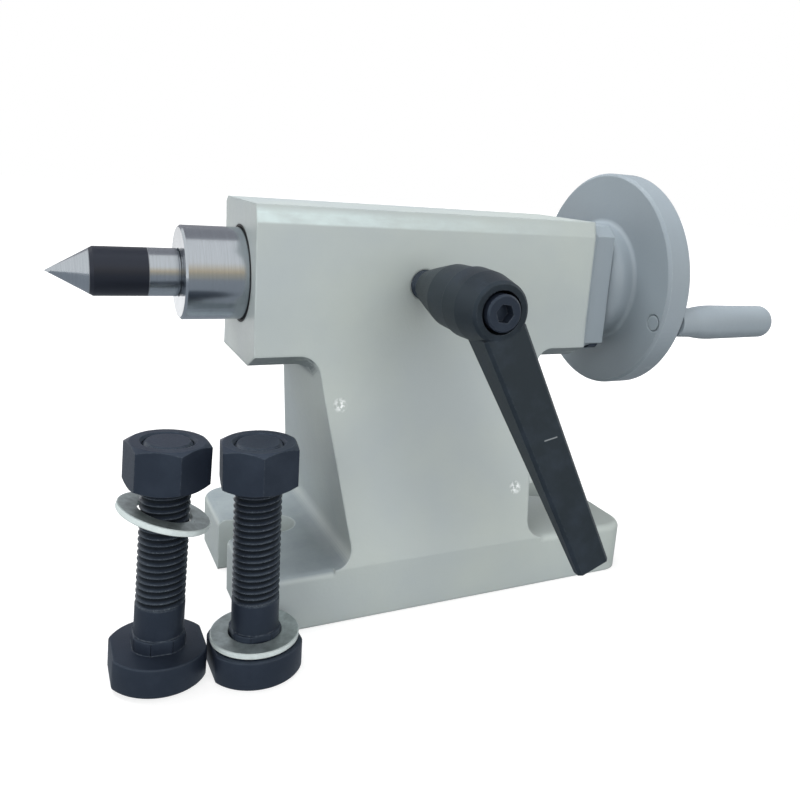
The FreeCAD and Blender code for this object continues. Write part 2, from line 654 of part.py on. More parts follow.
def hex_nut(name, flats, height, bore, bevel, at, turn, clear):
    """A hexagon nut along its own +Z with both ends turned conical and the bore countersunk."""
    made = body(name)
    pad(made, name + "_pad", hexagon(sketch_on(made, name + "_hexagon", "XY_Plane"), flats), height)
    out, flat = flats * 0.75, flats / 2
    groove = sketch_on(made, name + "_bevel", "XZ_Plane")
    slope = (out - flat) * 0.577
    outline(groove, [(flat - 0.4, height + 0.01), (out, height - slope), (out, height + 2),
                     (flat - 0.4, height + 2)])
    outline(groove, [(flat - 0.4, -0.01), (out, slope * 1), (out, -2), (flat - 0.4, -2)])
    spin = made.newObject("PartDesign::Groove", name + "_bevelled")
    spin.Profile = groove
    spin.ReferenceAxis = (groove, ["V_Axis"])
    spin.Angle = 360
    DOC.recompute()
    pocket(made, name + "_bore", ring(sketch_on(made, name + "_ring", "XY_Plane"), 0, 0, bore + clear * 2))
    dress(made, "Chamfer", name + "_countersink",
          lambda e: e.Curve.TypeId == "Part::GeomCircle" and near(e.Curve.Radius, bore / 2 + clear)
          and abs(e.BoundBox.ZLength) < 1e-6, bevel)
    place(made, at, turn)
    return made


def grip():
    """The revolving crank grip and the stud that it turns on."""
    y, z = crank_place()
    start = WHEEL_OUT + 0.3
    end = start + D["grip_length"]
    bore = D["stud_diameter"] / 2 + D["running_clearance"]
    neck, fat, tip = D["grip_neck"] / 2, D["grip_diameter"] / 2, D["grip_end"] / 2
    curl, bead = D["grip_round"], D["stud_bead"]
    room = end - curl - 1
    made = turned("handle_grip", [
        (start, bore), (start, neck), (start + D["grip_waist"], neck + 0.3),
        (start + D["grip_waist"] * 2.5, fat, -D["grip_length"]), (end - curl, tip), (end, tip - curl, -curl),
        (end, 0), (room, 0), (room, bore + bead), (room - bead * 3, bore + bead), (room - bead * 4, bore)],
        at=(0, y, AXIS + z))
    rivet, r = D["rivet_diameter"] / 2, D["stud_diameter"] / 2
    stud = turned("handle_stud", [
        (WHEEL_IN, 0), (room - 0.3, 0), (room - 0.3, r + bead * 0.6), (room - bead * 2.6, r + bead * 0.6),
        (room - bead * 3.2, r), (WHEEL_OUT, r), (WHEEL_OUT, rivet), (WHEEL_IN, rivet)],
        at=(0, y, AXIS + z))
    return [made, stud]


def lever_turn():
    """Turns a piece's own +Z to -Y and its +X down along the lever's arm."""
    stand = FreeCAD.Rotation(FreeCAD.Vector(1, 0, 0), 90)
    swing = FreeCAD.Rotation(FreeCAD.Vector(0, 0, 1), -(90 - number(D["arm_swing"])))
    return stand * swing


LEVER_AT = (LEVER_X, -NEAR_WALL, AXIS)


def lever_arm():
    """The lever's hub and arm in one casting, bored for the insert and the retaining screw."""
    top, start = D["lever_height"], D["hub_start"]
    bore = D["clamp_thread"] / 2 + D["running_clearance"]
    web, screw = top - D["recess_depth"], D["lever_screw"] / 2 + D["lever_screw_room"]
    neck, barrel, edge = D["hub_neck"] / 2, D["barrel_diameter"] / 2, D["barrel_start"]
    made = turned("lever_arm", [
        (start, bore), (start, neck), (start + D["flare_length"], neck + D["flare_rise"]),
        (start + D["cone_length"], D["hub_swell"] / 2), (edge - D["hub_step"], D["hub_shoulder"] / 2),
        (edge, barrel), (edge + D["barrel_length"], barrel - D["barrel_taper"]),
        (top - D["hub_edge"], D["barrel_front"] / 2), (top, D["barrel_front"] / 2 - D["hub_edge"]),
        (top, D["recess_diameter"] / 2), (web, D["recess_diameter"] / 2), (web, screw),
        (web - D["web_thick"], screw), (web - D["web_thick"], bore)], axis="Z")
    arm = made.newObject("PartDesign::AdditiveLoft", "arm_loft")
    arm.Profile, arm.Sections = arm_sections(made)
    arm.Ruled = True
    DOC.recompute()
    place(made, LEVER_AT, lever_turn())
    return made


def arm_sections(made):
    """The arm's root and tip sections, seen along the arm."""
    root_at = D["recess_diameter"] / 2 + D["arm_start"]
    tilt = "tan(sizes.arm_tilt * 1 deg)"
    run = D["arm_length"] - root_at
    rise = Size(run.value * math.tan(math.radians(number(D["arm_tilt"]))), "(%s * %s)" % (run.text, tilt))
    top = D["lever_height"]
    sections = []
    for tag, x, w, high, thick in (("root", root_at, D["arm_root_width"], top - D["arm_drop"],
                                    D["arm_root_thick"]),
                                   ("tip", D["arm_length"], D["arm_tip_width"], top + rise,
                                    D["arm_tip_thick"])):
        sketch = sketch_on(made, "arm_" + tag, "YZ_Plane")
        b, s = D["arm_bevel"], w / 2
        outline(sketch, [(s, high - thick + b), (s, high - b), (s - b, high), (b - s, high), (-s, high - b),
                         (-s, high - thick + b), (b - s, high - thick), (s - b, high - thick)])
        sketch.setExpression("AttachmentOffset.Base.z", x.text)
        sections.append(sketch)
    return sections[0], sections[1:]


def lever_inner():
    """The insert with its clamp thread, and the screw that holds the arm on it."""
    r, hole = D["clamp_thread"] / 2, D["lever_screw"] / 2
    top, under = D["insert_length"], D["lever_height"] - D["recess_depth"] + D["lever_lift"] + 1
    deep = D["insert_length"] - D["lever_screw"] * 2
    insert = turned("lever_insert", [
        (-D["insert_reach"], 0), (deep, 0), (deep, hole), (top, hole), (top, r - 0.6), (top - 0.6, r),
        (1 - D["insert_reach"], r), (-D["insert_reach"], r - 1)], axis="Z")
    place(insert, LEVER_AT, lever_turn())
    screw = cap_screw("lever_screw", D["lever_screw"] * 1, D["lever_screw"] * 1.625,
                      under - deep - 0.5, (LEVER_X, -(NEAR_WALL + under), AXIS), lever_turn(),
                      D["lever_screw"] * 0.75)
    return [insert, screw]


def clamp_shoe():
    """The brass shoe that the stud presses on the quill, hollowed to the quill's curve."""
    disc = DOC.addObject("Part::Cylinder", "shoe_disc")
    bind(disc, "Radius", D["clamp_thread"] / 2)
    bind(disc, "Height", D["shoe_thick"])
    place(disc, (LEVER_X, -(NEAR_WALL - D["insert_reach"] - 0.2 - D["shoe_thick"]), AXIS),
          FreeCAD.Rotation(FreeCAD.Vector(1, 0, 0), 90))
    tool = DOC.addObject("Part::Cylinder", "shoe_tool")
    bind(tool, "Radius", BORE / 2)
    bind(tool, "Height", D["clamp_thread"] * 2)
    place(tool, (LEVER_X - D["clamp_thread"], 0, AXIS), FreeCAD.Rotation(FreeCAD.Vector(0, 1, 0), 90))
    made = DOC.addObject("Part::Cut", "clamp_shoe")
    made.Label = "clamp_shoe"
    made.Base, made.Tool = disc, tool
    DOC.recompute()
    return made


def guide_screw():
    """The dog-point screw on the far side that keeps the quill from turning."""
    r, dog = GUIDE_THREAD / 2, D["keyway_width"] / 2 - D["running_clearance"]
    tip = D["quill_diameter"] / 2 - D["keyway_depth"] + 0.3
    step, out = D["quill_diameter"] / 2 + 0.6, NEAR_WALL - 0.5
    made = turned("guide_screw", [(tip, 0), (out, 0), (out, r - 0.5), (out - 0.5, r), (step, r),
                                  (step, dog), (tip, dog)], axis="Z")
    sketch = hexagon(sketch_on(made, "guide_socket", "XY_Plane"), r)
    sketch.setExpression("AttachmentOffset.Base.z", out.text)
    pocket(made, "guide_socket_cut", sketch, r * 0.75)
    place(made, (LEVER_X, 0, AXIS), FreeCAD.Rotation(FreeCAD.Vector(1, 0, 0), -90))
    return made


def t_bolt(name, at, turn, angle):
    """A T-bolt: round head with two flats, square neck with turned corners, shank and rolled end."""
    r, head, end = D["bolt_diameter"] / 2, D["head_diameter"] / 2, D["bolt_end"]
    high, neck, top = D["head_thick"], D["head_thick"] + D["neck_height"], D["bolt_height"]
    plain, thread = top - D["thread_length"], r - D["thread_under"]
    made = turned(name, [(0, 0), (0, head - 0.8), (0.8, head), (high - 0.6, head), (high, head - 0.6),
                         (high, r), (plain, r), (plain + 0.5, thread), (top - end, thread),
                         (top, thread - end), (top, 0)], axis="Z")
    swing = FreeCAD.Placement(FreeCAD.Vector(0, 0, 0), FreeCAD.Rotation(FreeCAD.Vector(0, 0, 1), angle))
    cut = sketch_on(made, name + "_flats", "XY_Plane")
    cut.AttachmentOffset = swing
    f, out = D["head_flats"] / 2, D["head_diameter"]
    outline(cut, [(f, -out), (out, -out), (out, out), (f, out)])
    outline(cut, [(-f, -out), (-out, -out), (-out, out), (-f, out)])
    pocket(made, name + "_flats_cut", cut, high + 1, back=True)
    square = sketch_on(made, name + "_neck", "XY_Plane")
    square.AttachmentOffset = swing
    s, curve = D["neck_side"] / 2, D["neck_corner"] / 2
    t = root_of(curve * curve - s * s)
    outline(square, [(s, -t, curve), (s, t), (t, s, curve), (-t, s), (-s, t, curve), (-s, -t),
                     (-t, -s, curve), (t, -s)])
    pad(made, name + "_neck_pad", square, neck)
    groove = sketch_on(made, name + "_neck_bevel", "XZ_Plane")
    far = D["neck_side"]
    outline(groove, [(r, neck), (far, neck - (far - r)), (far, neck + 2), (r, neck + 2)])
    spin = made.newObject("PartDesign::Groove", name + "_neck_bevelled")
    spin.Profile = groove
    spin.ReferenceAxis = (groove, ["V_Axis"])
    spin.Angle = 360
    DOC.recompute()
    place(made, at, turn)
    return made


def flat_washer(name, at, turn=None):
    t = D["washer_thick"]
    a, b = D["washer_inner"] / 2, D["washer_outer"] / 2
    return turned(name, [(0, a + 0.3), (0.3, a), (t, a), (t, b - 0.3), (t - 0.3, b), (0.3, b),
                         (0, b - 0.3)], axis="Z", at=at, turn=turn)


def tipped(*angles):
    """The rotation that tips a piece's own +Z towards +X by the sum of the given angles."""
    return FreeCAD.Rotation(FreeCAD.Vector(0, 1, 0), sum(number(a) for a in angles))


def loose_set():
    """The two T-bolts beside the base, each with its nut and washer; the left one leans."""
    upright = D["bolt_lean"] * 0
    under_nut = D["bolt_height"] - D["nut_height"]
    crest = D["bolt_diameter"] - D["thread_under"] * 2
    low = D["head_thick"] + D["washer_gap"]
    hang = under_nut - D["washer_drop"] - D["washer_outer"] / 2 * sine(D["washer_tilt"])
    made = []
    for side, lean, angle, nut_angle in (("left", D["bolt_lean"], 0, -81.6), ("right", upright, 1, -97.4)):
        x = -(D["base_length"] / 2 + D[side + "_ahead"])
        y = -(D["base_width"] / 2 + D[side + "_beside"])
        foot = D["head_flats"] / 2 * sine(lean)
        made.append(t_bolt("t_bolt_" + side, (x, y, foot), tipped(lean), angle))
        turn = tipped(lean) * FreeCAD.Rotation(FreeCAD.Vector(0, 0, 1), nut_angle)
        seat = (x + under_nut * sine(lean), y, foot + under_nut * cosine(lean))
        made.append(hex_nut("hex_nut_" + side, D["nut_flats"], D["nut_height"], crest,
                            D["nut_chamfer"], seat, turn, D["running_clearance"]))
        if side == "right":
            made.append(flat_washer("washer_right", (x, y, low)))
            continue
        tilt = lean + D["washer_tilt"]
        rest = (x + hang * sine(lean) - D["washer_thick"] * sine(tilt), y,
                foot + hang * cosine(lean) - D["washer_thick"] * cosine(tilt))
        made.append(flat_washer("washer_left", rest, tipped(tilt)))
    return made


def check_and_export(pieces):
    """Refuses a failed feature or an invalid solid, then writes each piece."""
    DOC.recompute()
    for obj in DOC.Objects:
        if "Invalid" in obj.State or "Error" in obj.State:
            raise RuntimeError("%s failed: %s" % (obj.Name, obj.State))
    for piece in pieces:
        shape = piece.Shape
        if shape.isNull() or not shape.isValid() or len(shape.Solids) != 1:
            raise RuntimeError("%s is not one valid solid" % piece.Label)
        shape.exportStep(os.path.join("parts", piece.Label + ".step"))
        box = shape.BoundBox
        print("%-20s %10.1f mm3  x %7.1f %7.1f  y %7.1f %7.1f  z %6.1f %6.1f" % (
            piece.Label, shape.Volume, box.XMin, box.XMax, box.YMin, box.YMax, box.ZMin, box.ZMax))


def main():
    pieces = [casting(), wiper(), quill(), dead_centre(), feed_nut(), feed_screw(), thrust_washer(),
              end_plate(), *plate_screws(), handwheel(), wheel_key(), *wheel_fastening(), *grip(),
              lever_arm(), *lever_inner(), clamp_shoe(), guide_screw(), *loose_set()]
    check_and_export(pieces)


main()
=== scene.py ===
"""The looks of a small lathe tailstock: cast paint, ground steel, black fittings and threaded bolts."""
import logging
import math
from dataclasses import dataclass
from enum import Enum
from typing import Iterable, Optional, Sequence, Union

import bmesh
import bpy
from mathutils import Matrix, Vector


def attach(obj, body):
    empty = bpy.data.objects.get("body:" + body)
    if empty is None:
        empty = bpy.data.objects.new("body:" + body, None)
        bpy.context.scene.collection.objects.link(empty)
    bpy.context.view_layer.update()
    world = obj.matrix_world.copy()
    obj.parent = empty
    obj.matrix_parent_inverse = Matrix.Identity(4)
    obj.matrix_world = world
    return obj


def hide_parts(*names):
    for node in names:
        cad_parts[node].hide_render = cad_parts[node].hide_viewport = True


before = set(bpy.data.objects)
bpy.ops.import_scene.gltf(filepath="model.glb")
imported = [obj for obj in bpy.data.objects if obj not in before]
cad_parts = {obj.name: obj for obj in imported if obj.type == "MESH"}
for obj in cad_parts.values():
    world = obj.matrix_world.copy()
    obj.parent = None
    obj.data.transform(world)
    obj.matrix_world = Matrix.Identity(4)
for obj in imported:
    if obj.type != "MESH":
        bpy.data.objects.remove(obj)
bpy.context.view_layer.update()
LOG = logging.getLogger("tailstock")
MM = 0.001
BEVEL_SAMPLES = 6
# Where a soft mask and a patchy one start and end on a noise between 0 and 1.
SOFT = (0.35, 0.65)
PATCHY = (0.40, 0.60)

Triple = tuple[float, float, float]
Number = Union[float, "Wire"]


class Wire:
    """A shader socket that takes Python's operators: each operation adds one Math node."""

    def __init__(self, tree: bpy.types.NodeTree, socket: bpy.types.NodeSocket) -> None:
        """Wraps one output socket of a tree."""
        self.tree = tree
        self.socket = socket

    def _math(self, operation: str, *values: Number) -> "Wire":
        """Adds a Math node.

        Args:
            operation: the node's operation.
            values: numbers or wires for its sockets, in order.

        Returns:
            The node's result.
        """
        node = self.tree.nodes.new("ShaderNodeMath")
        node.operation = operation
        for slot, value in zip(node.inputs, values):
            if isinstance(value, Wire):
                self.tree.links.new(value.socket, slot)
            else:
                slot.default_value = value
        return Wire(self.tree, node.outputs[0])

    def __add__(self, other: Number) -> "Wire":
        """self + other."""
        return self._math("ADD", self, other)

    def __radd__(self, other: Number) -> "Wire":
        """other + self."""
        return self._math("ADD", other, self)

    def __sub__(self, other: Number) -> "Wire":
        """self - other."""
        return self._math("SUBTRACT", self, other)

    def __rsub__(self, other: Number) -> "Wire":
        """other - self."""
        return self._math("SUBTRACT", other, self)

    def __mul__(self, other: Number) -> "Wire":
        """self * other."""
        return self._math("MULTIPLY", self, other)

    def __rmul__(self, other: Number) -> "Wire":
        """other * self."""
        return self._math("MULTIPLY", other, self)

    def __truediv__(self, other: Number) -> "Wire":
        """self / other."""
        return self._math("DIVIDE", self, other)

    def __pow__(self, other: Number) -> "Wire":
        """self to the power of other."""
        return self._math("POWER", self, other)

    def at_least(self, other: Number) -> "Wire":
        """The larger of the two."""
        return self._math("MAXIMUM", self, other)

    def at_most(self, other: Number) -> "Wire":
        """The smaller of the two."""
        return self._math("MINIMUM", self, other)

    def held(self) -> "Wire":
        """The value held between 0 and 1."""
        return self.at_least(0.0).at_most(1.0)

    def step(self, start: float, end: float) -> "Wire":
        """0 before start, 1 after end and a straight slope between them."""
        return ((self - start) / (end - start)).held()

    def between(self, start: float, end: float, blur: float) -> "Wire":
        """1 from start to end and 0 outside, each change spread over blur on both sides."""
        return self.step(start - blur, start + blur) * (1.0 - self.step(end - blur, end + blur))


class Recipe:
    """A material or a world under the hand, with the few kinds of node that this scene needs."""

    def __init__(self, owner: Union[bpy.types.Material, bpy.types.World]) -> None:
        """Takes over the nodes of a material or a world, and empties them."""
        owner.use_nodes = True
        self.tree = owner.node_tree
        self.tree.nodes.clear()

    def node(self, kind: str, settings: Optional[dict] = None,
             sockets: Optional[dict] = None) -> bpy.types.Node:
        """Adds any node.

        Args:
            kind: the node's type.
            settings: its properties, set first; "stops" is a colour ramp's list of (place, colour).
            sockets: values or wires by socket name or number.

        Returns:
            The new node.
        """
        made = self.tree.nodes.new(kind)
        for key, value in (settings or {}).items():
            if key == "stops":
                self._stops(made.color_ramp, value)
            else:
                setattr(made, key, value)
        for key, value in (sockets or {}).items():
            if isinstance(value, Wire):
                self.tree.links.new(value.socket, made.inputs[key])
            else:
                made.inputs[key].default_value = value
        return made

    @staticmethod
    def _stops(ramp: bpy.types.ColorRamp, stops: Sequence[tuple[float, Sequence[float]]]) -> None:
        """Gives a colour ramp these (place, colour) stops and no other."""
        while len(ramp.elements) > 1:
            ramp.elements.remove(ramp.elements[-1])
        ramp.elements[0].position, ramp.elements[0].color = stops[0]
        for place, colour in stops[1:]:
            ramp.elements.new(place).color = colour

    def out(self, node: bpy.types.Node, socket: Union[int, str] = 0) -> Wire:
        """One of a node's results as a wire."""
        return Wire(self.tree, node.outputs[socket])

    def place(self) -> Wire:
        """The point on the surface, in the object's own metres."""
        return self.out(self.node("ShaderNodeTexCoord"), "Object")

    def axes(self, point: Wire) -> tuple[Wire, Wire, Wire]:
        """A point's X, Y and Z."""
        node = self.node("ShaderNodeSeparateXYZ", None, {0: point})
        return self.out(node, 0), self.out(node, 1), self.out(node, 2)

    def stretched(self, point: Wire, scale: Triple, shift: Triple = (0, 0, 0)) -> Wire:
        """The point moved by shift and then stretched by scale."""
        node = self.node("ShaderNodeMapping", {"vector_type": "POINT"},
                         {"Vector": point, "Scale": scale, "Location": shift})
        return self.out(node)

    def noise(self, point: Wire, scale: float, detail: float = 2.0, rough: float = 0.5) -> Wire:
        """Soft noise between 0 and 1, scale ripples to the metre."""
        node = self.node("ShaderNodeTexNoise", {"noise_dimensions": "3D"},
                         {"Vector": point, "Scale": scale, "Detail": detail, "Roughness": rough})
        return self.out(node, 0)

    def mixed(self, amount: Number, first: Union[Wire, Sequence[float]],
              second: Union[Wire, Sequence[float]]) -> Wire:
        """Two colours mixed: the first at 0 and the second at 1."""
        pair = [c if isinstance(c, Wire) else (*c, 1.0)[:4] for c in (first, second)]
        node = self.node("ShaderNodeMix", {"data_type": "RGBA"}, {0: amount, 6: pair[0], 7: pair[1]})
        return self.out(node, 2)

    def raised(self, height: Wire, depth: float, edge: float = 0.0) -> Wire:
        """A normal that follows a height, over edges rounded by a radius of edge.

        Args:
            height: 0 to 1.
            depth: how far 1 stands above 0, in metres.
            edge: the radius that sharp edges are shaded with, in metres.

        Returns:
            The normal.
        """
        sockets = {"Height": height, "Strength": 1.0, "Distance": depth}
        if edge:
            sockets["Normal"] = self.rounded(edge)
        return self.out(self.node("ShaderNodeBump", None, sockets))

    def rounded(self, radius: float) -> Wire:
        """The normal with sharp edges shaded as rounded by a radius in metres."""
        return self.out(self.node("ShaderNodeBevel", {"samples": BEVEL_SAMPLES}, {"Radius": radius}))

    def measure(self, operation: str, first: Union[Wire, Triple], second: Union[Wire, Triple]) -> Wire:
        """The number that a Vector Math operation such as DISTANCE gives for two vectors."""
        return self.out(self.node("ShaderNodeVectorMath", {"operation": operation},
                                  {0: first, 1: second}), "Value")

    def facing(self, axis: int) -> Wire:
        """How far the surface faces along an axis: with axis 2, 1 on a level top, -1 on an underside."""
        return self.axes(self.out(self.node("ShaderNodeNewGeometry"), "True Normal"))[axis]

    def corners(self, reach: float) -> Wire:
        """1 on a sharp corner, falling to 0 at a reach from it in metres."""
        flat = self.out(self.node("ShaderNodeNewGeometry"), "True Normal")
        return (1.0 - self.measure("DOT_PRODUCT", self.rounded(reach), flat)).step(0.015, 0.16)

    def near_line(self, point: Wire, start: Triple, end: Triple) -> Wire:
        """The distance from the point to a straight line between two points, in metres."""
        run = Vector(end) - Vector(start)
        from_start = self.out(self.node("ShaderNodeVectorMath", {"operation": "SUBTRACT"},
                                        {0: point, 1: start}))
        along = self.measure("DOT_PRODUCT", from_start, tuple(run / run.length_squared)).held()
        foot = self.out(self.node("ShaderNodeVectorMath", {"operation": "SCALE"},
                                  {0: tuple(run), "Scale": along}))
        return self.measure("DISTANCE", from_start, foot)

    def surface(self, **sockets: Union[Number, Sequence[float]]) -> None:
        """Ends the material in a Principled shader; a socket's spaces are written as underscores."""
        named = {key.replace("_", " "): value for key, value in sockets.items()}
        for key, value in named.items():
            if key == "Base Color" and not isinstance(value, Wire):
                named[key] = (*value, 1.0)[:4]
        shader = self.node("ShaderNodeBsdfPrincipled", None, named)
        self.node("ShaderNodeOutputMaterial", None, {"Surface": self.out(shader)})


def dimmed(colour: Triple, share: float) -> Triple:
    """A colour at a share of its brightness."""
    return tuple(channel * share for channel in colour)


@dataclass(frozen=True)
class Finish:
    """What the finishes share: a name, and one material made when it is first asked for."""

    name: str

    def material(self) -> bpy.types.Material:
        """The finish's material."""
        made = bpy.data.materials.get(self.name)
        if made is None:
            made = bpy.data.materials.new(self.name)
            self.mix(Recipe(made))
        return made

    def mix(self, recipe: Recipe) -> None:
        """Builds the finish's nodes."""
        raise NotImplementedError


@dataclass(frozen=True)
class Paint(Finish):
    """Sprayed enamel with drifts of tone, orange peel, painted highlights on corners and painted shade on
    undersides.

    Attributes:
        colour: the tone of a thick coat.
        thin: the tone of a thin one.
        roughness: the mean roughness.
        swell: ripples to the metre in the casting's own skin.
        swell_depth: how deep they are, in metres like all lengths here.
        peel: ripples to the metre of the orange peel.
        peel_depth: how deep those are.
        edge: the radius that sharp edges are shaded with.
        dents: the middles of small dents, each a bump with a painted glint.
        dent_size: how far a dent reaches.
        dent_glint_colour: the tone of the painted glint in a dent.
        corner_highlight_colour: the painted highlight on sharp corners.
        corner_highlight_reach: how far from a corner that painted highlight reaches.
        under_shade_colour: the painted shade on undersides.
        shade_colour: the tone of low level faces, in the shade of the housing.
        shade_top: the height under which a level face counts as low, or 0 for none.
        shade_end: the two places along X between which the shade ends.
        painted_highlight: the lower and upper height of a painted highlight strip along the near side,
            under the top, if there is one.
        painted_highlight_colour: the tone of that painted highlight.
        painted_highlight_end: the two places along X between which the painted highlight fades.
    """

    colour: Triple = (0.45, 0.49, 0.49)
    thin: Triple = (0.40, 0.44, 0.45)
    roughness: float = 0.42
    swell: float = 120.0
    swell_depth: float = 0.00022
    peel: float = 800.0
    peel_depth: float = 0.00006
    edge: float = 0.0012
    dents: tuple[Triple, ...] = ()
    dent_size: float = 0.0032
    dent_glint_colour: Triple = (0.86, 0.90, 0.90)
    corner_highlight_colour: Triple = (0.64, 0.71, 0.71)
    corner_highlight_reach: float = 0.0011
    under_shade_colour: Triple = (0.10, 0.125, 0.13)
    shade_colour: Triple = (0.20, 0.24, 0.265)
    shade_top: float = 0.0
    shade_end: tuple[float, float] = (-0.045, -0.015)
    painted_highlight: Optional[tuple[float, float]] = None
    painted_highlight_colour: Triple = (0.60, 0.71, 0.71)
    painted_highlight_end: tuple[float, float] = (-0.09, 0.06)

    def mix(self, recipe: Recipe) -> None:
        """Tones by noise, painted shade by facing and by place, painted highlights on corners, a strip and
        dents, and a bump of swell, peel and dents.
        """
        point = recipe.place()
        x, _, z = recipe.axes(point)
        up = recipe.facing(2)
        drift = recipe.noise(point, 16.0, 3.0, 0.6)
        swell = recipe.noise(point, self.swell, 2.0, 0.45)
        peel = recipe.noise(point, self.peel, 3.0, 0.55)
        specks = recipe.noise(point, 2600.0, 1.0).step(0.70, 0.80)
        cloud = recipe.noise(recipe.stretched(point, (0.35, 1.0, 1.0)), 140.0, 4.0, 0.65)
        shade_patches = recipe.noise(point, 75.0, 4.0, 0.5).step(0.30, 0.70)
        tone = recipe.mixed(drift.step(*SOFT), self.thin, self.colour)
        tone = recipe.mixed(specks * 0.22, tone, dimmed(self.colour, 0.55))
        # Painted shade on faces that look down, patchy by the cloud.
        under = (0.0 - up).step(0.30, 0.62) * cloud.step(0.30, 0.42)
        tone = recipe.mixed(under * 0.9, tone, self.under_shade_colour)
        # Painted shade of the housing on low level faces, made patchy by a noise.
        shade = up.step(0.45, 0.8) * (1.0 - z.step(self.shade_top - MM, self.shade_top))
        shade = shade * (1.0 - x.step(*self.shade_end))
        tone = recipe.mixed(shade * (0.62 + shade_patches * 0.3), tone, self.shade_colour)
        # A painted highlight strip along the near side, under the top edge.
        if self.painted_highlight:
            strip = self._painted_highlight_strip(x, z) * (0.0 - recipe.facing(1)).step(0.6, 0.8)
            tone = recipe.mixed(strip * (0.5 + cloud.step(*PATCHY) * 0.5), tone, self.painted_highlight_colour)
        # Painted highlights on sharp corners, patchy by the cloud.
        tone = recipe.mixed(recipe.corners(self.corner_highlight_reach) * (0.35 + cloud.step(*PATCHY) * 0.4), tone,
                            self.corner_highlight_colour)
        height = swell + (peel - 0.5) * (self.peel_depth / self.swell_depth)
        # Each dent is a real bump with a painted glint in its middle.
        for dent in self.dents:
            near = 1.0 - recipe.measure("DISTANCE", point, dent).step(0.0, self.dent_size)
            height = height - near * 3.0
            tone = recipe.mixed((near * 1.6).held() * peel.step(0.46, 0.56), tone, self.dent_glint_colour)
        recipe.surface(Base_Color=tone, Roughness=self.roughness + (peel - 0.5) * 0.22,
                       Normal=recipe.raised(height, self.swell_depth, self.edge))

    def _painted_highlight_strip(self, x: Wire, z: Wire) -> Wire:
        """1 in the painted highlight strip, sharp at its lower line and soft at its upper one."""
        low, high = self.painted_highlight
        sharp, soft = 0.0004, 0.0028
        strip = z.step(low - sharp, low + sharp) * (1.0 - z.step(high - soft, high - sharp))
        return strip * (1.0 - x.step(*self.painted_highlight_end))


@dataclass(frozen=True)
class GroundSteel(Finish):
    """Bright steel turned or ground about the X axis, with fine rings round it.

    Attributes:
        colour: the tone of the steel.
        roughness: the mean roughness.
        rings: rings to the metre.
        ring_depth: how deep they are, in metres.
        band: the ends along X of a blackened band, if there is one.
        band_colour: the tone of that band.
        front_shade_colour: the painted shade on faces that look to the front, against X.
    """

    colour: Triple = (0.50, 0.54, 0.58)
    roughness: float = 0.2
    rings: float = 3200.0
    ring_depth: float = 0.0000015
    band: Optional[tuple[float, float]] = None
    band_colour: Triple = (0.018, 0.022, 0.033)
    front_shade_colour: Triple = (0.24, 0.26, 0.29)

    def mix(self, recipe: Recipe) -> None:
        """Rings from noise on X alone, a cloud of grey, painted shade on front faces and the blackened
        band.
        """
        point = recipe.place()
        x, _, _ = recipe.axes(point)
        front = (0.0 - recipe.facing(0)).step(0.9, 0.97)
        ring = recipe.noise(recipe.stretched(point, (1.0, 0.02, 0.02)), self.rings, 2.0, 0.7)
        cloud = recipe.noise(point, 60.0, 3.0, 0.6)
        black: Number = x.between(*self.band, 0.0002) if self.band else 0.0
        tone = recipe.mixed(ring.step(0.3, 0.7) * 0.35 + cloud * 0.2, self.colour,
                            dimmed(self.colour, 0.72))
        # Painted shade on faces that look to the front.
        tone = recipe.mixed(front * 0.8, tone, self.front_shade_colour)
        recipe.surface(Base_Color=recipe.mixed(black, tone, self.band_colour),
                       Metallic=1.0 - black * 0.55,
                       Roughness=self.roughness + (ring - 0.5) * 0.10 + black * 0.12,
                       Normal=recipe.raised(ring, self.ring_depth, 0.0003))


@dataclass(frozen=True)
class Blackened(Finish):
    """Oil-blacked or powder-coated black: dark, a little blue, greyer where it has been handled.

    Attributes:
        colour: the tone of the black.
        worn: the tone of smudges.
        bare: the tone of worn corners and of thread crests.
        root: the painted shade at the bottom of a thread's groove.
        sheen: the tint of its gloss.
        roughness: the mean roughness.
        grain: specks to the metre.
        grain_depth: how deep they are, in metres.
        edge: the radius that sharp edges are shaded with.
        scratch: the two ends of one light scratch, if there is one.
        scratch_colour: the tone of that scratch.
    """

    colour: Triple = (0.013, 0.0175, 0.028)
    worn: Triple = (0.028, 0.037, 0.054)
    bare: Triple = (0.085, 0.10, 0.115)
    root: Triple = (0.001, 0.0014, 0.002)
    sheen: Triple = (0.66, 0.83, 1.0)
    roughness: float = 0.40
    grain: float = 1500.0
    grain_depth: float = 0.00002
    edge: float = 0.0004
    scratch: Optional[tuple[Triple, Triple]] = None
    scratch_colour: Triple = (0.25, 0.27, 0.28)

    def mix(self, recipe: Recipe) -> None:
        """Smudges, worn corners, a fine grain, painted shade in the thread roots and, where one is given, a
        scratch.
        """
        point = recipe.place()
        smudge = recipe.noise(point, 90.0, 4.0, 0.65).step(0.48, 0.80)
        grain = recipe.noise(point, self.grain, 2.0, 0.6)
        thread = recipe.out(recipe.node("ShaderNodeAttribute", {"attribute_name": "thread"}), "Fac")
        specks = recipe.noise(point, 1900.0, 2.0, 0.6).step(0.56, 0.66)
        wear = recipe.corners(0.0007) * recipe.noise(point, 900.0, 2.0).step(0.40, 0.62)
        tone = recipe.mixed(smudge * 0.5, self.colour, self.worn)
        tone = recipe.mixed(wear * 0.55, tone, self.bare)
        tone = recipe.mixed((0.0 - thread).held() * (0.25 + specks * 0.75), tone, self.bare)
        # Painted shade at the bottom of the thread grooves.
        tone = recipe.mixed(thread.held() * 0.9, tone, self.root)
        if self.scratch:
            line = 1.0 - recipe.near_line(point, *self.scratch).step(0.00012, 0.0003)
            tone = recipe.mixed(line * 0.8, tone, self.scratch_colour)
        recipe.surface(Base_Color=tone, Specular_Tint=(*self.sheen, 1.0),
                       Roughness=self.roughness + (grain - 0.5) * 0.2 + smudge * 0.06 + thread * 0.35,
                       Normal=recipe.raised(grain, self.grain_depth, self.edge))


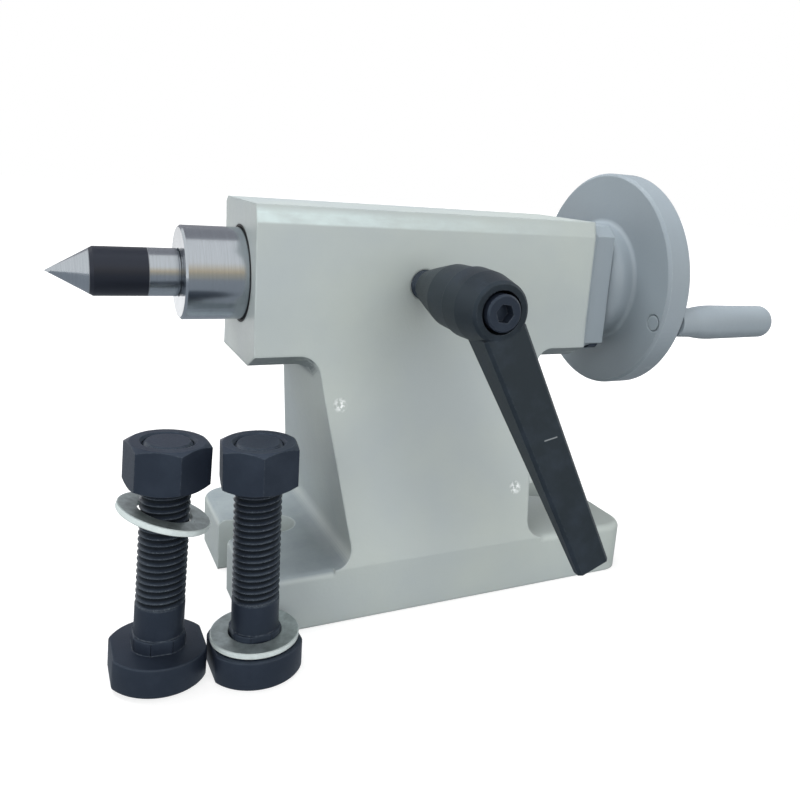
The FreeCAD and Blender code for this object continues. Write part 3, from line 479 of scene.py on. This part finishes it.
@dataclass(frozen=True)
class Plated(Finish):
    """Bright plate with a faint bloom, small scratches and a painted highlight on its upright faces.

    Attributes:
        colour: the tone of the flat faces.
        rim: the tone of the painted highlight on the faces that stand upright.
        roughness: the mean roughness.
    """

    colour: Triple = (0.50, 0.575, 0.575)
    rim: Triple = (0.72, 0.80, 0.79)
    roughness: float = 0.33

    def mix(self, recipe: Recipe) -> None:
        """A cloudy bloom in tone and gloss over a fine scratched grain, and a painted highlight on the rim,
        paler and less metallic.
        """
        point = recipe.place()
        bloom = recipe.noise(point, 220.0, 4.0, 0.65)
        scratch = recipe.noise(recipe.stretched(point, (1.0, 0.15, 1.0)), 2400.0, 2.0, 0.7)
        tone = recipe.mixed(bloom.step(*SOFT), self.colour, dimmed(self.colour, 0.62))
        up = recipe.facing(2)
        side = (1.0 - up * up).step(0.35, 0.80)
        # Painted highlight on the upright faces, patchy by the bloom.
        tone = recipe.mixed(side * (0.55 + bloom.step(*PATCHY) * 0.4), tone, self.rim)
        recipe.surface(Base_Color=tone, Metallic=0.75 - side * 0.55,
                       Roughness=self.roughness + (bloom - 0.5) * 0.25 + (scratch - 0.5) * 0.1,
                       Normal=recipe.raised(scratch, 0.00001, 0.0003))


@dataclass(frozen=True)
class Rubber(Finish):
    """The dull black of the wiper's lip."""

    colour: Triple = (0.012, 0.012, 0.013)
    bloom: Triple = (0.035, 0.035, 0.036)

    def mix(self, recipe: Recipe) -> None:
        """Nearly black and rough, with a faint bloom."""
        bloom = recipe.noise(recipe.place(), 500.0, 3.0)
        recipe.surface(Base_Color=recipe.mixed(bloom * 0.4, self.colour, self.bloom),
                       Roughness=0.7 + (bloom - 0.5) * 0.2,
                       Normal=recipe.raised(bloom, 0.00002))


class Coat(Enum):
    """The finishes on this tailstock."""

    # The casting: painted glints in its dents, a painted highlight strip under the near top edge and
    # painted shade on low level faces.
    CASTING = Paint("cast_enamel", colour=(0.435, 0.485, 0.465), thin=(0.395, 0.445, 0.455), edge=0.0014,
                    dents=((-0.0490, -0.0292, 0.0818), (0.0273, -0.0408, 0.0439)), shade_top=0.05,
                    painted_highlight=(0.1495, 0.156))
    # The wheel: painted highlights on corners and painted shade on undersides, in tones of its own.
    WHEEL = Paint("wheel_enamel", colour=(0.265, 0.31, 0.345), thin=(0.245, 0.29, 0.325), roughness=0.45,
                  swell=260.0, swell_depth=0.00006, peel_depth=0.00003, edge=0.0008,
                  corner_highlight_colour=(0.36, 0.42, 0.45), under_shade_colour=(0.20, 0.24, 0.27))
    QUILL = GroundSteel("ground_quill")
    CENTRE = GroundSteel("ground_centre", roughness=0.24, band=(-0.1345, -0.1150))
    SCREW = GroundSteel("turned_screw", roughness=0.35)
    BLACK = Blackened("oil_black")
    LEVER = Blackened("lever_coat", colour=(0.010, 0.014, 0.018), roughness=0.46, grain=2200.0, edge=0.0006,
                      scratch=((0.0015, -0.0947, 0.0851), (0.0062, -0.0948, 0.0862)))
    ZINC = Plated("zinc_plate")
    BRASS = Plated("bushing_brass", colour=(0.66, 0.47, 0.18))
    WIPER = Rubber("wiper_rubber")


def dress(node: str, coat: Coat) -> None:
    """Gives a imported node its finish."""
    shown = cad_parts[node]
    for slot in shown.material_slots:
        slot.material = coat.value.material()
    LOG.info("%s wears %s", node, coat.value.name)


class Shape:
    """A mesh under the hand, in millimetres, from bmesh operators only.

    Attributes:
        MERGE: points closer than this are merged.
        ON_PLANE: points closer than this to a cutting plane lie on it.
        FLANK: how far a thread's flank ends below its crest, where the rounding starts.
        SLACK: how far past root and crest, as a share of the depth, a point still belongs to a thread.
    """

    MERGE = 1e-4
    ON_PLANE = 1e-5
    FLANK = 0.12
    SLACK = 0.02

    def __init__(self) -> None:
        """Starts empty."""
        self.bm = bmesh.new()
        self.threads: list[tuple[float, float, float, float]] = []

    def lathe(self, profile: Sequence[tuple[float, float]], steps: int = 96) -> None:
        """Spins a line of (radius, height) points about Z into a closed shell.

        Args:
            profile: the line, from one point on the axis to another.
            steps: how many facets go round.
        """
        points = [self.bm.verts.new((r, 0.0, z)) for r, z in profile]
        edges = [self.bm.edges.new(pair) for pair in zip(points, points[1:])]
        bmesh.ops.spin(self.bm, geom=points + edges, cent=(0, 0, 0), axis=(0, 0, 1), dvec=(0, 0, 0),
                       angle=math.tau, steps=steps, use_merge=True, use_normal_flip=False,
                       use_duplicate=False, space=Matrix.Identity(4))

    def thread(self, root: float, crest: float, pitch: float, low: float, high: float,
               steps: int = 48) -> None:
        """Winds a rounded V thread about Z and cuts it square at both ends.

        Args:
            root: radius at the bottom of the groove.
            crest: radius at the top of the ridge.
            pitch: height of one turn.
            low: where the thread starts.
            high: where it ends.
            steps: how many facets one turn has.
        """
        turns = math.ceil((high - low) / pitch) + 2
        part = bmesh.new()
        flank = crest - self.FLANK
        line = ((root, 0.0), (root, 0.14), (flank, 0.42), (crest, 0.47), (crest, 0.53),
                (flank, 0.58), (root, 0.86), (root, 1.0))
        points = [part.verts.new((r, 0.0, low + (share - 1.0) * pitch)) for r, share in line]
        edges = [part.edges.new(pair) for pair in zip(points, points[1:])]
        bmesh.ops.spin(part, geom=points + edges, cent=(0, 0, 0), axis=(0, 0, 1),
                       dvec=(0, 0, pitch / steps), angle=math.tau * turns, steps=steps * turns,
                       use_merge=False, use_normal_flip=False, use_duplicate=False,
                       space=Matrix.Identity(4))
        bmesh.ops.remove_doubles(part, verts=part.verts, dist=self.MERGE)
        for height, up in ((low, -1.0), (high, 1.0)):
            self._slice(part, Vector((0.0, 0.0, height)), Vector((0.0, 0.0, up)))
        bmesh.ops.recalc_face_normals(part, faces=part.faces)
        self._take(part)
        self.threads.append((root, crest, low, high))

    def flatted_disc(self, radius: float, low: float, high: float, flats: float, sides: int,
                     bevel: float) -> None:
        """A disc with flats cut on it.

        Args:
            radius: the disc's radius.
            low: its underside.
            high: its upper side.
            flats: the width across two opposite flats.
            sides: how many flats there are; the first faces +X.
            bevel: how far the sharp edges are taken back.
        """
        part = bmesh.new()
        bmesh.ops.create_cone(part, cap_ends=True, segments=128, radius1=radius, radius2=radius,
                              depth=high - low)
        bmesh.ops.translate(part, vec=(0, 0, (low + high) / 2), verts=part.verts)
        for side in range(sides):
            way = math.tau * side / sides
            out = Vector((math.cos(way), math.sin(way), 0.0))
            self._slice(part, out * (flats / 2), out)
        sharp = [e for e in part.edges if len(e.link_faces) == 2 and e.calc_face_angle() > 0.3]
        bmesh.ops.bevel(part, geom=sharp, offset=bevel, offset_type="OFFSET", segments=3, profile=0.5,
                        affect="EDGES", material=-1)
        self._take(part)

    def _slice(self, part: bmesh.types.BMesh, at: Vector, out: Vector) -> None:
        """Takes off what lies beyond a plane, and closes the cut."""
        cut = bmesh.ops.bisect_plane(part, geom=part.verts[:] + part.edges[:] + part.faces[:],
                                     dist=self.ON_PLANE, plane_co=at, plane_no=out, clear_outer=True)
        rim = [e for e in cut["geom_cut"] if isinstance(e, bmesh.types.BMEdge)]
        bmesh.ops.contextual_create(part, geom=rim)

    def _take(self, part: bmesh.types.BMesh) -> None:
        """Adds a finished shell to this shape."""
        mesh = bpy.data.meshes.new("shell")
        part.to_mesh(mesh)
        part.free()
        self.bm.from_mesh(mesh)
        bpy.data.meshes.remove(mesh)

    def _mark_threads(self) -> None:
        """Marks each thread for its finish: 1 at the bottom of the groove, -1 on the crest."""
        layer = self.bm.verts.layers.float.new("thread")
        for root, crest, low, high in self.threads:
            for vert in self.bm.verts:
                depth = (crest - math.hypot(vert.co.x, vert.co.y)) / (crest - root)
                if low < vert.co.z < high and -self.SLACK < depth < 1.0 + self.SLACK:
                    vert[layer] = 2.0 * depth - 1.0

    def piece(self, name: str, coat: Coat, at: Matrix, smooth: float = 35.0) -> bpy.types.Object:
        """Makes the object, with its place in its mesh.

        Args:
            name: the piece's name.
            coat: its finish.
            at: where it goes, in metres; the shape's own millimetres are scaled first.
            smooth: edges blunter than this many degrees are shaded smooth.

        Returns:
            The new object at the origin.
        """
        bmesh.ops.remove_doubles(self.bm, verts=self.bm.verts, dist=self.MERGE)
        bmesh.ops.recalc_face_normals(self.bm, faces=self.bm.faces)
        self._mark_threads()
        for face in self.bm.faces:
            face.smooth = True
        for edge in self.bm.edges:
            edge.smooth = len(edge.link_faces) == 2 and edge.calc_face_angle(0.0) < math.radians(smooth)
        bmesh.ops.transform(self.bm, matrix=at @ Matrix.Scale(MM, 4), verts=self.bm.verts)
        mesh = bpy.data.meshes.new(name)
        self.bm.to_mesh(mesh)
        self.bm.free()
        mesh.materials.append(coat.value.material())
        made = bpy.data.objects.new(name, mesh)
        bpy.context.scene.collection.objects.link(made)
        LOG.info("%s has %d faces and wears %s", name, len(mesh.polygons), coat.value.name)
        return made


@dataclass
class Casting:
    """The painted frame: base, column and housing, with the wiper and the plate at the rear."""

    def build(self) -> None:
        """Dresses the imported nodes."""
        dress("body_casting", Coat.CASTING)
        dress("end_plate", Coat.WHEEL)
        dress("bore_wiper", Coat.WIPER)
        dress("guide_screw", Coat.BLACK)
        dress("clamp_shoe", Coat.BRASS)
        dress("thrust_washer", Coat.BRASS)
        for number in range(1, 5):
            dress("end_plate_screw_%d" % number, Coat.BLACK)


@dataclass
class Quill:
    """The sliding quill with its nut and the dead centre."""

    def build(self) -> None:
        """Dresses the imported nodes."""
        dress("quill", Coat.QUILL)
        dress("dead_centre", Coat.CENTRE)
        dress("feed_nut", Coat.BRASS)


@dataclass
class Wheel:
    """The crank wheel on the feed screw, its key, nut and grip."""

    def build(self) -> None:
        """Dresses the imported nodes."""
        dress("handwheel", Coat.WHEEL)
        dress("handle_grip", Coat.WHEEL)
        dress("handle_stud", Coat.WHEEL)
        dress("feed_screw", Coat.SCREW)
        dress("wheel_key", Coat.SCREW)
        dress("wheel_nut", Coat.ZINC)
        dress("wheel_washer", Coat.ZINC)


@dataclass
class ClampLever:
    """The indexing clamp lever: arm, threaded insert and retaining screw, in millimetres.

    Attributes:
        foot: where the stud leaves the casting.
        stud: the radius of the thread's crest.
        depth: the thread's depth.
        pitch: its pitch.
        inside: where the stud ends inside the casting, from the foot.
        top: where it ends inside the lever's hub.
        tip: how far the plain tip's radius is under the crest.
        tip_edge: the chamfer on the tip.
        margin: the plain length at both ends.
        overlap: how far the tip reaches into the thread.
    """

    foot: Triple = (-14.5, -25.0, 128.0)
    stud: float = 6.0
    depth: float = 0.95
    pitch: float = 1.75
    inside: float = -4.4
    top: float = 42.0
    tip: float = 0.6
    tip_edge: float = 0.5
    margin: float = 1.0
    overlap: float = 0.1

    def build(self) -> None:
        """Dresses the arm and screw, and cuts the thread on the insert."""
        dress("lever_arm", Coat.LEVER)
        dress("lever_screw", Coat.BLACK)
        at = Matrix.Translation(Vector(self.foot) * MM) @ Matrix.Rotation(math.pi / 2, 4, "X")
        low, tip, edge = self.inside, self.stud - self.tip, self.tip_edge
        start, end = low + self.margin, low + self.margin + self.overlap
        shape = Shape()
        shape.thread(self.stud - self.depth, self.stud, self.pitch, start, self.top - self.margin)
        shape.lathe(((0.0, low), (tip - edge, low), (tip, low + edge), (tip, end), (0.0, end)))
        insert = shape.piece("clamp_stud", Coat.BLACK, at)
        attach(insert, "lever_base")
        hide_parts("lever_insert")


@dataclass
class LooseBolt:
    """One T-bolt that stands beside the base, with its nut and washer, in millimetres.

    Attributes:
        side: left or right, as in the nodes' names.
        at: the middle of its foot.
        lean: degrees that it leans about Y.
        turn: degrees that it is turned about its axis.
        radius: the plain shank's radius.
        crest: the radius of the thread's crest.
        height: the bolt's height.
        plain: where the thread starts.
        pitch: the thread's pitch.
        depth: its depth.
        head: the head's radius, its width across the flats and its height.
        neck: the square neck's corner radius, its side and its height.
        head_edge: the bevel on the head.
        neck_edge: the bevel on the neck.
        sink: how far a form reaches into the one under it.
        runout: the height over which the shank narrows to the thread's root.
        end_edge: the chamfer at the bolt's upper end.
    """

    side: str
    at: Triple
    lean: float = 0.0
    turn: float = 0.0
    radius: float = 7.98
    crest: float = 7.9
    height: float = 81.5
    plain: float = 26.0
    pitch: float = 2.25
    depth: float = 1.05
    head: tuple[float, float, float] = (16.5, 29.8, 10.4)
    neck: tuple[float, float, float] = (8.9, 16.6, 4.7)
    head_edge: float = 0.7
    neck_edge: float = 0.35
    sink: float = 0.5
    runout: float = 0.6
    end_edge: float = 1.2

    def build(self) -> None:
        """Winds the bolt and dresses its nut and washer."""
        r, crest, top, start = self.radius, self.crest, self.height, self.plain
        root, done = crest - self.depth, start + self.runout
        radius, flats, seat = self.head
        corner, side, rise = self.neck
        foot, end = seat - self.sink, top - 1.0
        shape = Shape()
        shape.flatted_disc(radius, 0.0, seat, flats, 2, self.head_edge)
        shape.flatted_disc(corner, foot, seat + rise, side, 4, self.neck_edge)
        shape.lathe(((0.0, foot), (r, foot), (r, start - 0.4), (r - 0.5, start + 0.3), (root, done),
                     (0.0, done)))
        shape.thread(root, crest, self.pitch, start - 0.3, end)
        shape.lathe(((0.0, end - 0.1), (crest - 0.1, end - 0.1), (crest - self.end_edge, top), (0.0, top)))
        at = (Matrix.Translation(Vector(self.at) * MM) @ Matrix.Rotation(math.radians(self.lean), 4, "Y")
              @ Matrix.Rotation(math.radians(self.turn), 4, "Z"))
        bolt = shape.piece("threaded_bolt_" + self.side, Coat.BLACK, at)
        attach(bolt, "bolt_" + self.side)
        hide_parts("t_bolt_" + self.side)
        dress("hex_nut_" + self.side, Coat.BLACK)
        dress("washer_" + self.side, Coat.ZINC)


@dataclass
class Studio:
    """A white room: floor, soft lamps, cards for the gloss and the camera at the photograph's angle.

    Attributes:
        eye: where the camera is.
        azimuth: degrees that it looks to the right of Y.
        elevation: degrees that it looks down.
        roll: degrees that it is rolled.
        lens: its focal length for a film of FILM millimetres.
        shift: how far its picture is moved, in widths.
        ambient: how much of the white surround lights the object.
        floor_white: the floor's tone under the lamps.
        floor_glow: how much light the floor shows by itself near the object.
        floor_fade: the two distances between which that glow rises to plain white.
    """

    FILM = 36.0
    ROOM_GREY = (0.36, 0.36, 0.39, 1.0)
    eye: Triple = (-0.15224, -0.30907, 0.17110)
    azimuth: float = 28.52
    elevation: float = 13.25
    roll: float = 4.71
    lens: float = 36.03
    shift: tuple[float, float] = (-0.0694, -0.0446)
    ambient: float = 0.38
    floor_white: float = 0.42
    floor_glow: float = 0.72
    floor_fade: tuple[float, float] = (0.25, 0.8)

    def build(self) -> None:
        """Sets the floor, the world, the lamps and the camera."""
        self._camera()
        self._world()
        self._floor()
        self._lamp("top_light", (-0.15, 0.35, 1.15), (0.0, 0.0, 0.06), 0.8, 16.0)
        self._lamp("left_light", (-1.1, -0.7, 0.4), (0.0, 0.0, 0.08), 0.8, 5.5)
        self._lamp("front_light", (0.15, -1.5, 0.55), (0.0, 0.0, 0.08), 1.5, 16.5)
        self._card("floor_card", (0.2, -0.4, 0.0002), (2.6, 1.5), 0.0, ((0.0, (0.33, 0.36, 0.40, 1.0)),))
        self._card("front_card", (0.7, -1.0, 0.33), (2.4, 0.66), 90.0,
                   ((0.0, (0.45, 0.44, 0.40, 1.0)), (0.20, (0.50, 0.47, 0.40, 1.0)),
                    (0.30, (0.75, 0.60, 0.40, 1.0)), (0.58, (0.95, 0.90, 0.82, 1.0))))
        self._card("ceiling_card", (0.5, 0.85, 1.45), (2.6, 1.5), 0.0, ((0.0, self.ROOM_GREY),))
        self._card("back_card", (0.6, 1.6, 0.78), (2.8, 1.28), 90.0, ((0.0, self.ROOM_GREY),))
        bpy.context.scene.view_settings.view_transform = "Standard"

    def _camera(self) -> None:
        """Puts the camera where the photograph was taken from."""
        az, el, roll = (math.radians(v) for v in (self.azimuth, self.elevation, self.roll))
        ahead = Vector((math.cos(el) * math.sin(az), math.cos(el) * math.cos(az), -math.sin(el)))
        right = Vector((math.cos(az), -math.sin(az), 0.0))
        up = right.cross(ahead)
        right, up = (math.cos(roll) * right + math.sin(roll) * up,
                     math.cos(roll) * up - math.sin(roll) * right)
        data = bpy.data.cameras.new("camera")
        data.lens, data.sensor_width = self.lens, self.FILM
        data.shift_x, data.shift_y = self.shift
        data.clip_start = 0.01
        made = bpy.data.objects.new("camera", data)
        made.matrix_world = Matrix.Translation(self.eye) @ Matrix(
            (right, up, -ahead)).transposed().to_4x4()
        bpy.context.scene.collection.objects.link(made)
        bpy.context.scene.camera = made

    def _seen(self, recipe: Recipe) -> Wire:
        """1 for what the camera, gloss and glass see of the room, 0 for its light."""
        path = recipe.node("ShaderNodeLightPath")
        seen = recipe.out(path, "Is Camera Ray").at_least(recipe.out(path, "Is Glossy Ray"))
        return seen.at_least(recipe.out(path, "Is Transmission Ray"))

    def _world(self) -> None:
        """A plain white surround that lights the object less than it shows."""
        world = bpy.data.worlds.new("room")
        bpy.context.scene.world = world
        recipe = Recipe(world)
        strength = self.ambient + self._seen(recipe) * (1.0 - self.ambient)
        back = recipe.node("ShaderNodeBackground", None,
                           {"Color": (1.0, 1.0, 1.0, 1.0), "Strength": strength})
        recipe.node("ShaderNodeOutputWorld", None, {"Surface": recipe.out(back)})

    def _floor(self) -> None:
        """A pale floor that keeps a soft shadow."""
        bm = bmesh.new()
        bmesh.ops.create_grid(bm, x_segments=1, y_segments=1, size=4.0)
        bmesh.ops.translate(bm, vec=(0, 0, -0.0002), verts=bm.verts)
        mesh = bpy.data.meshes.new("floor")
        bm.to_mesh(mesh)
        bm.free()
        paint = bpy.data.materials.new("floor_white")
        recipe = Recipe(paint)
        white = recipe.node("ShaderNodeBsdfDiffuse", None, {"Color": (*(self.floor_white,) * 3, 1.0)})
        x, y, _ = recipe.axes(recipe.place())
        far = ((x * x + y * y) ** 0.5).step(*self.floor_fade)
        shine = self.floor_glow + far * (1.0 - self.floor_glow)
        glow = recipe.node("ShaderNodeEmission", None, {"Strength": self._seen(recipe) * shine})
        both = recipe.node("ShaderNodeAddShader", None, {0: recipe.out(white), 1: recipe.out(glow)})
        recipe.node("ShaderNodeOutputMaterial", None, {"Surface": recipe.out(both)})
        mesh.materials.append(paint)
        floor = bpy.data.objects.new("floor", mesh)
        bpy.context.scene.collection.objects.link(floor)

    def _lamp(self, name: str, at: Triple, aim: Triple, size: float, power: float) -> None:
        """Hangs one soft square lamp at a point and turns it to another."""
        data = bpy.data.lights.new(name, "AREA")
        data.size, data.energy = size, power
        lamp = bpy.data.objects.new(name, data)
        lamp.visible_glossy = False
        turn = (Vector(aim) - Vector(at)).to_track_quat("-Z", "Y").to_matrix().to_4x4()
        lamp.matrix_world = Matrix.Translation(at) @ turn
        bpy.context.scene.collection.objects.link(lamp)

    def _card(self, name: str, at: Triple, size: tuple[float, float], tip: float,
              stops: Sequence[tuple[float, Sequence[float]]]) -> None:
        """Hangs a card that only the steel and gloss mirror, as a dim room behind the camera.

        Args:
            name: the card's name.
            at: its middle.
            size: its width and depth.
            tip: degrees that it is tipped up from lying flat.
            stops: its colours by height in metres.
        """
        bm = bmesh.new()
        bmesh.ops.create_grid(bm, x_segments=1, y_segments=1, size=0.5)
        bmesh.ops.scale(bm, vec=(*size, 1.0), verts=bm.verts)
        bmesh.ops.transform(bm, matrix=Matrix.Translation(at) @ Matrix.Rotation(math.radians(tip), 4, "X"),
                            verts=bm.verts)
        mesh = bpy.data.meshes.new(name)
        bm.to_mesh(mesh)
        bm.free()
        paper = bpy.data.materials.new(name + "_paper")
        recipe = Recipe(paper)
        _, _, height = recipe.axes(recipe.place())
        shade = recipe.out(recipe.node("ShaderNodeValToRGB", {"stops": stops}, {0: height}))
        glow = recipe.node("ShaderNodeEmission", None, {"Color": shade, "Strength": 1.0})
        recipe.node("ShaderNodeOutputMaterial", None, {"Surface": recipe.out(glow)})
        mesh.materials.append(paper)
        card = bpy.data.objects.new(name, mesh)
        card.visible_camera = card.visible_diffuse = card.visible_shadow = False
        bpy.context.scene.collection.objects.link(card)


def main() -> None:
    """Builds the sub-assemblies in order, then the studio."""
    logging.basicConfig(level=logging.INFO, format="%(name)s: %(message)s")
    for part in (Casting(), Quill(), Wheel(), ClampLever(),
                 LooseBolt("left", (-119.6, -55.6, 0.728), lean=2.8),
                 LooseBolt("right", (-88.2, -61.8, 0.0), turn=1.0), Studio()):
        part.build()
        LOG.info("%s is ready", type(part).__name__)


if __name__ == "__main__":
    main()
